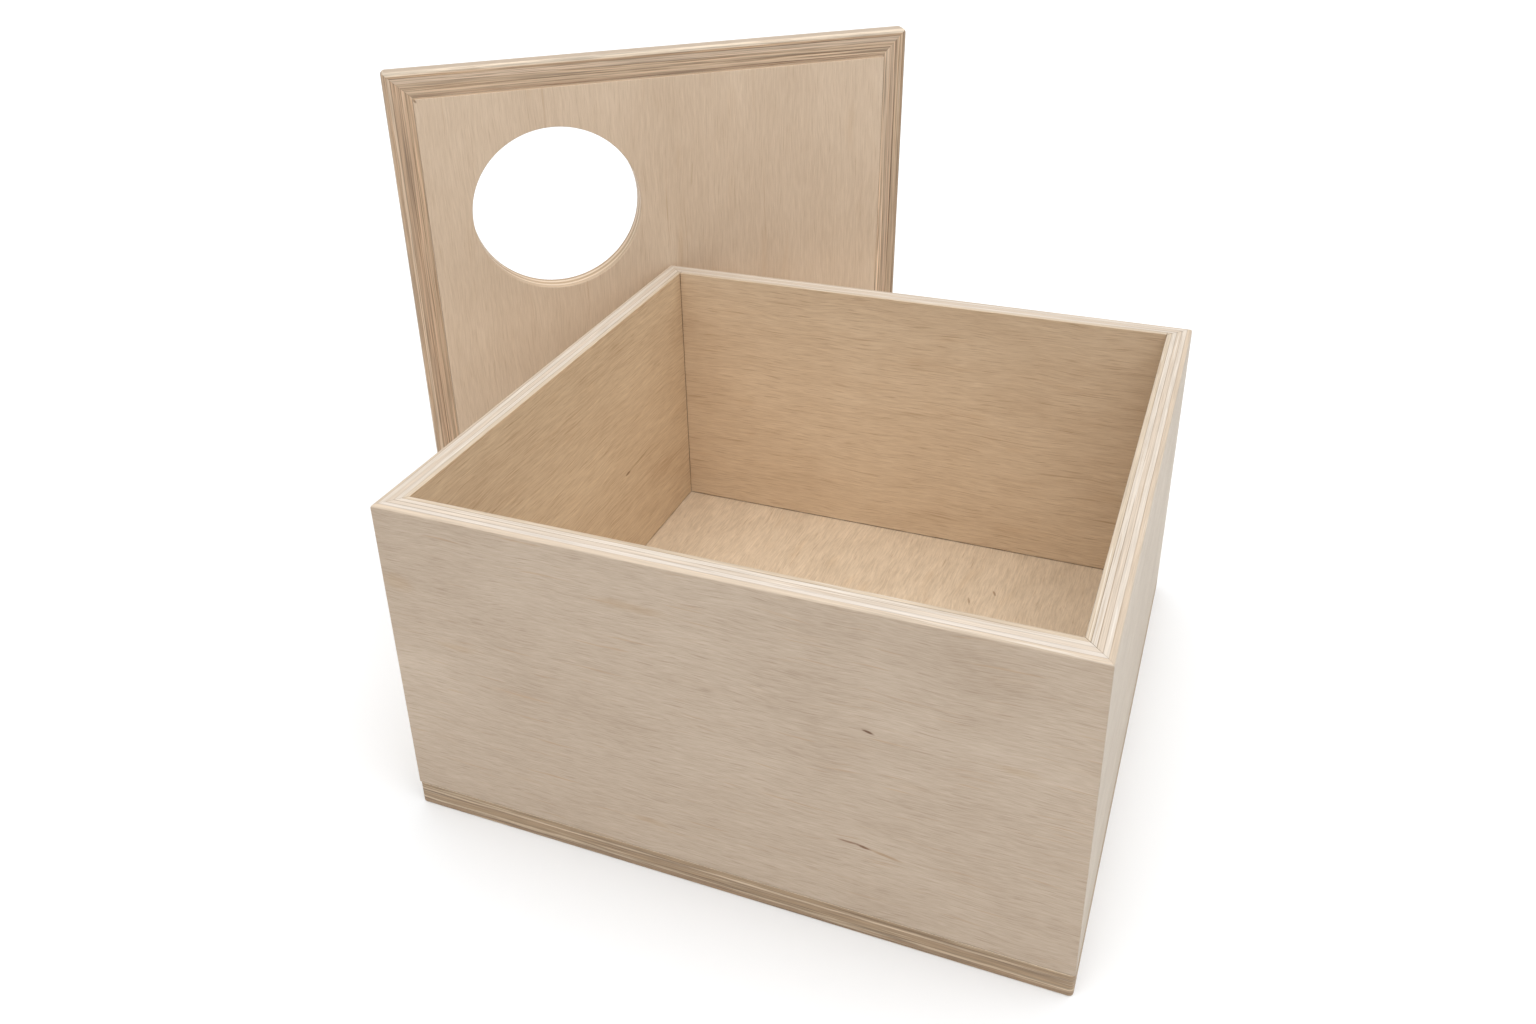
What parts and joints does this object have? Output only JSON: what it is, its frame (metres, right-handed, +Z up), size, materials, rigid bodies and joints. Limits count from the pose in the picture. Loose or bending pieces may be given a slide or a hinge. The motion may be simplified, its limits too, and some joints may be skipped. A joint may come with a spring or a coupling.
{
  "type": "wooden toy box with lift-off lid",
  "caption": "Open square box of mitred plywood on a base panel, with a loose square lid that has a round hand hole and stands on edge behind the box.",
  "frame": {"origin": "centre of the box's underside, on the floor that the box and its lid stand on", "axes": "+X to the right along the box's front, +Y to its back, +Z up"},
  "size_m": [0.4407, 0.41, 0.298],
  "materials": {
    "plywood": "rotary-cut light hardwood plywood, sanded, unfinished or clear matt oil",
    "plywood_edge": "sanded plywood edge with its plies showing",
    "beech": "bare beech, hidden in the joints"
  },
  "bodies": {
    "box": {"front_wall": "plywood", "back_wall": "plywood", "left_wall": "plywood", "right_wall": "plywood", "base_panel": "plywood", "corner_tongue_front_left": "beech", "corner_tongue_front_right": "beech", "corner_tongue_back_left": "beech", "corner_tongue_back_right": "beech", "dowel_front_1": "beech", "dowel_front_2": "beech", "dowel_right_1": "beech", "dowel_right_2": "beech", "dowel_back_1": "beech", "dowel_back_2": "beech", "dowel_left_1": "beech", "dowel_left_2": "beech"},
    "lid": {"lid_panel": "plywood", "lid_strip_bottom": "plywood_edge", "lid_strip_right": "plywood_edge", "lid_strip_top": "plywood_edge", "lid_strip_left": "plywood_edge"}
  },
  "joints": [
    {"name": "lid_lift", "type": "slide", "parent": "box", "child": "lid", "axis": [0, 0, 1], "range_m": [0, 0.2]}
  ]
}
